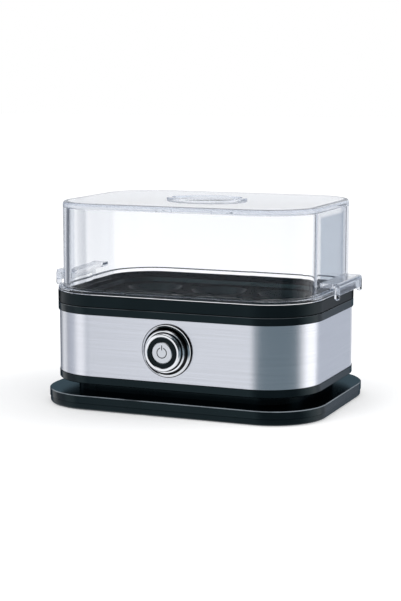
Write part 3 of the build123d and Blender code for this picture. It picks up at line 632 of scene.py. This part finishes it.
def screw_tree():
    """Puts a cross recessed screw on each point, its head's face at the point and looking up."""
    kit = piece_tree("cross_screws", {
        "Head radius": 0.0028, "Head height": 0.0016, "Shank radius": 0.0015, "Length": 0.01,
        "Recess width": 0.0007, "Recess depth": 0.0009})

    def cylinder(steps, radius, height):
        return kit.node("GeometryNodeMeshCylinder", inputs={
            "Vertices": steps, "Radius": radius, "Depth": height})

    head, shank = kit.given("Head height"), kit.given("Length") - kit.given("Head height")
    disc = cylinder(HEAD_STEPS, kit.given("Head radius"), head)
    disc = moved(kit, disc, kit.upright(-0.5 * head))
    span, width = RECESS_SPAN * kit.given("Head radius"), kit.given("Recess width")
    depth = 2 * kit.given("Recess depth")
    arms = []
    for size in ((span, width, depth), (width, span, depth)):
        block = kit.node("ShaderNodeCombineXYZ", inputs=dict(zip("XYZ", size)))
        arms.append(kit.node("GeometryNodeMeshCube", inputs={"Size": block}))
    cut = kit.node("GeometryNodeMeshBoolean", {"operation": "DIFFERENCE", "solver": "EXACT"}, {
        "Mesh 1": disc, "Mesh 2": arms, "Self Intersection": True})
    rod = cylinder(SHANK_STEPS, kit.given("Shank radius"), shank)
    rod = moved(kit, rod, kit.upright(-1 * head - 0.5 * shank))
    screw = kit.node("GeometryNodeJoinGeometry", inputs={"Geometry": [cut, rod]})
    end_tree(kit, kit.node("GeometryNodeInstanceOnPoints", inputs={
        "Points": kit.given("Geometry"), "Instance": screw}))


def spring_tree():
    """Winds a round wire into a coil spring that stands on the origin."""
    kit = piece_tree("coil_spring", {
        "Coil radius": 0.00375, "Length": 0.0113, "Wire radius": 0.00042})
    path = kit.node("GeometryNodeCurveSpiral", inputs={
        "Resolution": COIL_STEPS, "Rotations": SPRING_TURNS,
        "Start Radius": kit.given("Coil radius"), "End Radius": kit.given("Coil radius"),
        "Height": kit.given("Length") - 2 * kit.given("Wire radius")})
    wire = kit.node("GeometryNodeCurvePrimitiveCircle", inputs={
        "Resolution": WIRE_STEPS, "Radius": kit.given("Wire radius")})
    coil = kit.node("GeometryNodeCurveToMesh", inputs={
        "Curve": path, "Profile Curve": wire, "Fill Caps": True})
    end_tree(kit, moved(kit, coil, kit.upright(kit.given("Wire radius"))))


# Meshes

def linked(name, data):
    """A new object in the scene from a mesh, a lamp or a lens."""
    piece = bpy.data.objects.new(name, data)
    bpy.context.scene.collection.objects.link(piece)
    return piece


def applied(piece, modifier):
    """Keeps what a modifier makes of a piece as the piece's plain mesh."""
    view = bpy.context.evaluated_depsgraph_get()
    made = bpy.data.meshes.new_from_object(piece.evaluated_get(view))
    piece.modifiers.remove(modifier)
    old = piece.data
    piece.data = made
    bpy.data.meshes.remove(old)
    made.name = piece.name


def merged(mesh):
    """An editable copy of a mesh with its doubled points merged."""
    shaped = bmesh.new()
    shaped.from_mesh(mesh)
    bmesh.ops.remove_doubles(shaped, verts=shaped.verts, dist=MERGE_DISTANCE)
    return shaped


def smoothed(piece, turn_outwards=False):
    """Even gloss: smooth faces with sharp edges, and area weighted corner normals."""
    shaped = merged(piece.data)
    if turn_outwards:
        bmesh.ops.recalc_face_normals(shaped, faces=shaped.faces)
    for face in shaped.faces:
        face.smooth = True
    for edge in shaped.edges:
        edge.smooth = edge.is_manifold and edge.calc_face_angle(math.pi) < SHARP_ANGLE
    shaped.to_mesh(piece.data)
    shaped.free()
    modifier = piece.modifiers.new("weighted", "WEIGHTED_NORMAL")
    modifier.keep_sharp = True
    modifier.weight = 100
    applied(piece, modifier)


def grown(name, mesh, tree, finish, turn, place, **sizes):
    """Runs a tree on a mesh, keeps the result as a plain mesh, turns it and puts it in place."""
    piece = linked(name, mesh)
    modifier = piece.modifiers.new("grown", "NODES")
    modifier.node_group = bpy.data.node_groups[tree]
    values = {key.replace("_", " "): value for key, value in sizes.items()}
    values["Finish"] = finish_of(finish)
    for socket in modifier.node_group.interface.items_tree:
        if socket.in_out == "INPUT" and socket.name in values:
            modifier[socket.identifier] = values[socket.name]
    applied(piece, modifier)
    piece.data.transform(Matrix.Translation(place) @ turn)
    smoothed(piece, turn_outwards=True)
    return piece


def islands(node):
    """Boxes of the separate solids of a node."""
    shaped = merged(frame["nodes"][node].data)
    left, boxes = set(shaped.verts), []
    while left:
        first = left.pop()
        reached, front = [first], [first]
        while front:
            for edge in front.pop().link_edges:
                for end in edge.verts:
                    if end in left:
                        left.discard(end)
                        reached.append(end)
                        front.append(end)
        boxes.append([Vector([pick(end.co[axis] for end in reached) for axis in range(3)])
                      for pick in (min, max)])
    shaped.free()
    return boxes


# Pieces

TO_FRONT = Matrix.Rotation(math.pi / 2, 4, "X")
TO_BACK = Matrix.Rotation(-math.pi / 2, 4, "X")
TO_BELOW = Matrix.Rotation(math.pi, 4, "X")
UPRIGHT = Matrix.Identity(4)


def node_slot(node):
    for entry in frame["record"]["subparts"]:
        if entry["node"] == node:
            return entry["material_slot"]
    raise ValueError(f"the record names no slot for {node}")


def node_body(node):
    for body, members in frame["record"]["behaviour"]["bodies"].items():
        if node in members:
            return body
    raise ValueError(f"the record names no body for {node}")


def seat(piece, node, finish=None):
    """Gives a piece the named finish or its slot's, puts it in the node's body and hides the node."""
    slot = node_slot(node)
    piece.data.materials.clear()
    piece.data.materials.append(finish_of(finish or slot))
    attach(piece, node_body(node))
    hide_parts(node)


def smoothed_node(name, node, finish=None):
    """A merged copy of a node with even gloss, in place of the node."""
    piece = linked(name, frame["nodes"][node].data.copy())
    attributes = piece.data.attributes
    if "custom_normal" in attributes:
        attributes.remove(attributes["custom_normal"])
    smoothed(piece)
    seat(piece, node, finish)


def turned_piece(name, node, outline, rounding, finish=None):
    """A turned ring on the button's axis, from an outline of radius and height in millimetres."""
    radii = [radius for radius, _ in outline]
    middle = (min(radii) + max(radii)) / 2
    mesh = bpy.data.meshes.new(name)
    points = [((radius - middle) * MM, -height * MM, 0) for radius, height in outline]
    count = len(points)
    mesh.from_pydata(points, [(at, (at + 1) % count) for at in range(count)], [])
    place = Vector((BUTTON_AXIS.x, STEEL_LOW.y, BUTTON_AXIS.z))
    piece = grown(name, mesh, "turned_piece", finish or node_slot(node), TO_FRONT, place,
                  Middle_radius=middle * MM, Rounding=rounding * MM)
    seat(piece, node, finish)


def screws(name, node, turn):
    """The screws of a node, their heads looking along the turned upright."""
    facing = turn.to_3x3() @ Vector((0, 0, 1))
    axis = max(range(3), key=lambda at: abs(facing[at]))
    points, length = [], 0
    for low, high in islands(node):
        point = (low + high) / 2
        point[axis] = high[axis] if facing[axis] > 0 else low[axis]
        points.append(turn.inverted() @ point)
        length = high[axis] - low[axis]
    mesh = bpy.data.meshes.new(name)
    mesh.from_pydata(points, [], [])
    piece = grown(name, mesh, "cross_screws", node_slot(node), turn, Vector(), Length=length)
    seat(piece, node)


def wound_spring(name, node):
    """The button's return spring, wound in place of its node."""
    low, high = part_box(node)
    spring = grown(name, bpy.data.meshes.new(name), "coil_spring", node_slot(node), TO_FRONT,
                   Vector((BUTTON_AXIS.x, high.y, BUTTON_AXIS.z)), Length=high.y - low.y)
    seat(spring, node)
    travel = next(j for j in frame["joints"] if j["name"] == "button_press")["range_m"][1]
    1 - travel / (high.y - low.y)
    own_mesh(spring)


def finish_node(node):
    """Gives a node that stays the material of its slot."""
    part = frame["nodes"][node]
    part.data.materials.clear()
    part.data.materials.append(finish_of(node_slot(node)))


class EGGCOOKER_OT_base(bpy.types.Operator):
    """Build the base: cover, tray, feet and the screws below"""
    bl_idname = "egg_cooker.base"
    bl_label = "Base"

    def execute(self, context):
        smoothed_node("cover_moulding", "bottom_cover")
        smoothed_node("tray_moulding", "base_tray")
        smoothed_node("feet_moulding", "rubber_feet")
        screws("cover_screws", "base_screws", TO_BELOW)
        screws("tray_screws", "neck_screws", TO_BELOW)
        return {"FINISHED"}


class EGGCOOKER_OT_housing(bpy.types.Operator):
    """Build the housing: skirt, steel band, collar, cord bush, water plate and collar screws"""
    bl_idname = "egg_cooker.housing"
    bl_label = "Housing"

    def execute(self, context):
        smoothed_node("housing_moulding", "housing")
        smoothed_node("band_sleeve", "steel_band")
        smoothed_node("collar_moulding", "top_collar", "collar")
        smoothed_node("cord_bush", "cord_grommet")
        smoothed_node("pressed_plate", "heating_plate")
        screws("ring_screws", "collar_screws", TO_BELOW)
        return {"FINISHED"}


class EGGCOOKER_OT_button(bpy.types.Operator):
    """Build the push button and its bezel"""
    bl_idname = "egg_cooker.button"
    bl_label = "Button"

    def execute(self, context):
        turned_piece("bezel_plated", "button_bezel", BEZEL_OUTLINE, BEZEL_ROUNDING, "bezel")
        turned_piece("sleeve_plated", "button_sleeve", SLEEVE_OUTLINE, SLEEVE_ROUNDING)
        turned_piece("ring_polished", "button_ring", RING_OUTLINE, RING_ROUNDING)
        smoothed_node("cap_spun", "button_cap")
        smoothed_node("icon_inlay", "power_icon")
        return {"FINISHED"}


class EGGCOOKER_OT_works(bpy.types.Operator):
    """Build the inner screws and the spring, and give the other inner parts their finishes"""
    bl_idname = "egg_cooker.works"
    bl_label = "Works"

    def execute(self, context):
        screws("post_screws", "board_screws", TO_BACK)
        screws("mains_screws", "terminal_screws", UPRIGHT)
        wound_spring("spring_wound", "button_spring")
        for node in frame["nodes"]:
            if not frame["nodes"][node].hide_render:
                finish_node(node)
        return {"FINISHED"}


class EGGCOOKER_OT_rack(bpy.types.Operator):
    """Build the egg rack"""
    bl_idname = "egg_cooker.rack"
    bl_label = "Rack"

    def execute(self, context):
        smoothed_node("rack_moulding", "egg_rack", "rack")
        return {"FINISHED"}


class EGGCOOKER_OT_lid(bpy.types.Operator):
    """Build the clear lid"""
    bl_idname = "egg_cooker.lid"
    bl_label = "Lid"

    def execute(self, context):
        smoothed_node("lid_shell", "clear_lid")
        return {"FINISHED"}


# Stage

# Cards that glossy surfaces see: middle azimuth, half width and soft edge in degrees, colour
CARDS = (
    ("left fall", -74, 8, 8, (0.56, 0.59, 0.66)),
    ("left line", -90, 3, 4, (0.38, 0.40, 0.45)),
    ("left strip", -52, 8, 8, (1.2, 1.2, 1.22)),
    ("left dip", -33, 3, 6, (0.54, 0.57, 0.63)),
    ("front wash", -18, 3, 9, (1.08, 1.09, 1.12)),
    ("right flag", 40, 40, 18, (0.17, 0.225, 0.26)),
    ("right strip", 119, 12, 10, (1.5, 1.5, 1.52)),
    ("back right", 156, 14, 10, (0.56, 0.60, 0.68)),
    ("back left", -131, 9, 8, (0.16, 0.18, 0.22)),
)
OPEN_ROOM = (0.97, 0.98, 1.0)
CEILING = (0.012, 0.018, 0.020)
TABLE = (0.9, 0.92, 0.95)
# Heights on the unit sphere over which the room turns into its ceiling in front and at the right,
# into the open room overhead, and from the table into the walls
FRONT_CEILING, RIGHT_CEILING = (0.42, 0.62), (-0.02, 0.2)
OPEN_OVERHEAD = (0.90, 0.96)
TABLE_EDGE = (-0.55, -0.25)
# Azimuths in degrees over which the front ceiling fades, and the right one starts and fades
FRONT_FADE, RIGHT_START, RIGHT_FADE = (70, 110), (2, 20), (75, 100)
# What rays find that were mirrored inside the clear lid, and the cosines over which dark turns
# into light
GLASS_LIGHT = (0.95, 0.965, 1.0)
GLASS_DARK = (0.10, 0.12, 0.16)
GLASS_FIELDS = (-0.85, -0.3)

# Glow of the floor, with a painted shadow where it dims: its dimmest point beside the object, the reach of its
# change from there, and its strengths
FLOOR_SHADOW_MIDDLE = (-0.09, -0.03, 0.0)
GLOW_REACH = (0.05, 0.20)
GLOW = (0.12, 0.36)
FLOOR_HALF = 6.0
FLOOR_TONES = (0.86, 0.865, 0.875), (0.88, 0.885, 0.89)
KEY_PLACE = (-0.5, -0.7, 1.1)
KEY_AIM = (0, 0, 0.05)
KEY_SIDE = 0.9
KEY_POWER = 6.0
SENSOR_HEIGHT = 36.0
LENS_SHIFT = (-0.0107, -0.0176)


def degrees(pair):
    return [math.radians(angle) for angle in pair]


def glossy_room(kit, azimuth, height):
    """Room that glossy surfaces see: cards round the object, a dark ceiling and a pale table."""
    room = solid(OPEN_ROOM)
    for _, middle, half, soft, colour in CARDS:
        away = abs(azimuth - math.radians(middle))
        room = kit.blend(room, solid(colour), kit.fade(away, *degrees((half, half + soft))))
    front = kit.fade(abs(azimuth), *degrees(FRONT_FADE))
    room = kit.blend(room, solid(CEILING), kit.ease(height, *FRONT_CEILING) * front)
    right = kit.ease(azimuth, *degrees(RIGHT_START)) * kit.fade(azimuth, *degrees(RIGHT_FADE))
    room = kit.blend(room, solid(CEILING), kit.ease(height, *RIGHT_CEILING) * right)
    room = kit.blend(room, solid(OPEN_ROOM), kit.ease(height, *OPEN_OVERHEAD))
    return kit.blend(solid(TABLE), room, kit.ease(height, *TABLE_EDGE))


def studio_world(stage):
    """Even light for the object, white for the camera and a room for the glossy surfaces."""
    world = bpy.data.worlds.new("studio")
    world.use_nodes = True
    bpy.context.scene.world = world
    kit = NodeKit(world.node_tree)
    towards = kit.node("ShaderNodeTexCoord", output="Generated")
    x, y, z = (kit.part(towards, axis) for axis in "XYZ")
    azimuth = kit.maths("ARCTAN2", x, -1 * y)
    light = kit.blend(shade((1, 1, 1), stage.daylight), glossy_room(kit, azimuth, z),
                      kit.ray("Is Glossy Ray"))
    sides = kit.maths("COSINE", 4 * (azimuth - stage.azimuth))
    fields = kit.blend(solid(GLASS_DARK), solid(GLASS_LIGHT), kit.ease(sides, *GLASS_FIELDS))
    light = kit.blend(light, fields, kit.through_clear(turned=True))
    white = kit.largest(kit.through_clear(turned=False), kit.ray("Is Camera Ray"))
    light = kit.blend(light, (1, 1, 1, 1), white)
    shader = kit.node("ShaderNodeBackground", inputs={"Color": light, "Strength": 1.0})
    kit.node("ShaderNodeOutputWorld", inputs={"Surface": shader})


def white_floor():
    """Pale floor that stays white apart from the object's shadow, partly cast and partly painted by a glow that
    dims near the object.
    """
    material, kit = new_finish("studio_floor")
    seen = kit.ray("Is Camera Ray") + kit.ray("Is Transmission Ray")
    tones = [solid(tone) for tone in FLOOR_TONES]
    matte = kit.dull(kit.blend(*tones, kit.noise(every_way(3), detail=1)))
    # Painted shadow: the glow is dimmest at a point beside the object and grows away from it
    away = kit.node("ShaderNodeVectorMath", {"operation": "DISTANCE"}, {
        0: kit.place(every_way(1)), 1: FLOOR_SHADOW_MIDDLE}, "Value")
    glow = kit.node("ShaderNodeEmission", inputs={
        "Color": kit.ease(away, *GLOW_REACH, *GLOW) * seen, "Strength": 1.0})
    pale = kit.node("ShaderNodeAddShader", inputs={0: matte, 1: glow})
    kit.surface(kit.mix(pale, kit.see_through(), kit.through_clear(turned=True)))
    mesh = bpy.data.meshes.new("floor")
    corners = [(x * FLOOR_HALF, y * FLOOR_HALF, 0) for x, y in ((-1, -1), (1, -1), (1, 1), (-1, 1))]
    mesh.from_pydata(corners, [], [(0, 1, 2, 3)])
    mesh.materials.append(material)
    floor = linked("floor", mesh)
    floor.visible_glossy = False


def key_light():
    """Soft square light from the front left, which leaves no mirror image."""
    lamp = bpy.data.lights.new("key", "AREA")
    lamp.shape = "RECTANGLE"
    lamp.size = lamp.size_y = KEY_SIDE
    lamp.energy = KEY_POWER
    holder = linked("key", lamp)
    holder.location = KEY_PLACE
    towards = Vector(KEY_AIM) - Vector(KEY_PLACE)
    holder.rotation_euler = towards.to_track_quat("-Z", "Y").to_euler()
    holder.visible_glossy = False


def photo_camera(stage):
    """Camera at the photograph's viewing angle."""
    lens = bpy.data.cameras.new("camera")
    lens.sensor_fit = "VERTICAL"
    lens.sensor_height = SENSOR_HEIGHT
    lens.lens = stage.lens
    lens.shift_x, lens.shift_y = LENS_SHIFT
    holder = linked("camera", lens)
    flat = math.cos(stage.elevation)
    back = Vector((math.sin(stage.azimuth) * flat, -math.cos(stage.azimuth) * flat,
                   math.sin(stage.elevation)))
    holder.location = Vector((0, 0, stage.aim_height)) + back * stage.distance
    holder.rotation_euler = (-back).to_track_quat("-Z", "Y").to_euler()
    bpy.context.scene.camera = holder


class EGGCOOKER_OT_stage(bpy.types.Operator):
    """Set up the floor, the light and the camera"""
    bl_idname = "egg_cooker.stage"
    bl_label = "Stage"

    def execute(self, context):
        stage = context.scene.egg_stage
        studio_world(stage)
        white_floor()
        key_light()
        photo_camera(stage)
        context.scene.view_settings.view_transform = "Standard"
        return {"FINISHED"}


class EGGCOOKER_OT_finishes(bpy.types.Operator):
    """Make the materials of all slots and the trees that grow pieces"""
    bl_idname = "egg_cooker.finishes"
    bl_label = "Finishes"

    def execute(self, context):
        made = make_finishes(context.scene)
        context.scene["egg_slots"] = {slot: material.name for slot, material in made.items()}
        for tree in (turned_tree, screw_tree, spring_tree):
            tree()
        return {"FINISHED"}


class EGGCOOKER_PT_panel(bpy.types.Panel):
    """Lists the pieces of the egg cooker"""
    bl_idname = "EGGCOOKER_PT_panel"
    bl_label = "Egg cooker"
    bl_space_type = "VIEW_3D"
    bl_region_type = "UI"
    bl_category = "Egg cooker"

    def draw(self, context):
        for settings in (context.scene.egg_finishes, context.scene.egg_stage):
            for name in settings.__annotations__:
                self.layout.prop(settings, name)
        for step in STEPS:
            self.layout.operator(step.bl_idname)


STEPS = (
    EGGCOOKER_OT_finishes, EGGCOOKER_OT_base, EGGCOOKER_OT_housing, EGGCOOKER_OT_button,
    EGGCOOKER_OT_rack, EGGCOOKER_OT_lid, EGGCOOKER_OT_works, EGGCOOKER_OT_stage,
)
CLASSES = (Finishes, Stage) + STEPS + (EGGCOOKER_PT_panel,)


def register():
    for made in CLASSES:
        bpy.utils.register_class(made)
    bpy.types.Scene.egg_finishes = bpy.props.PointerProperty(type=Finishes)
    bpy.types.Scene.egg_stage = bpy.props.PointerProperty(type=Stage)


def unregister():
    del bpy.types.Scene.egg_stage
    del bpy.types.Scene.egg_finishes
    for made in reversed(CLASSES):
        bpy.utils.unregister_class(made)


def main():
    register()
    for step in STEPS:
        group, name = step.bl_idname.split(".")
        getattr(getattr(bpy.ops, group), name)()


if __name__ == "__main__":
    main()
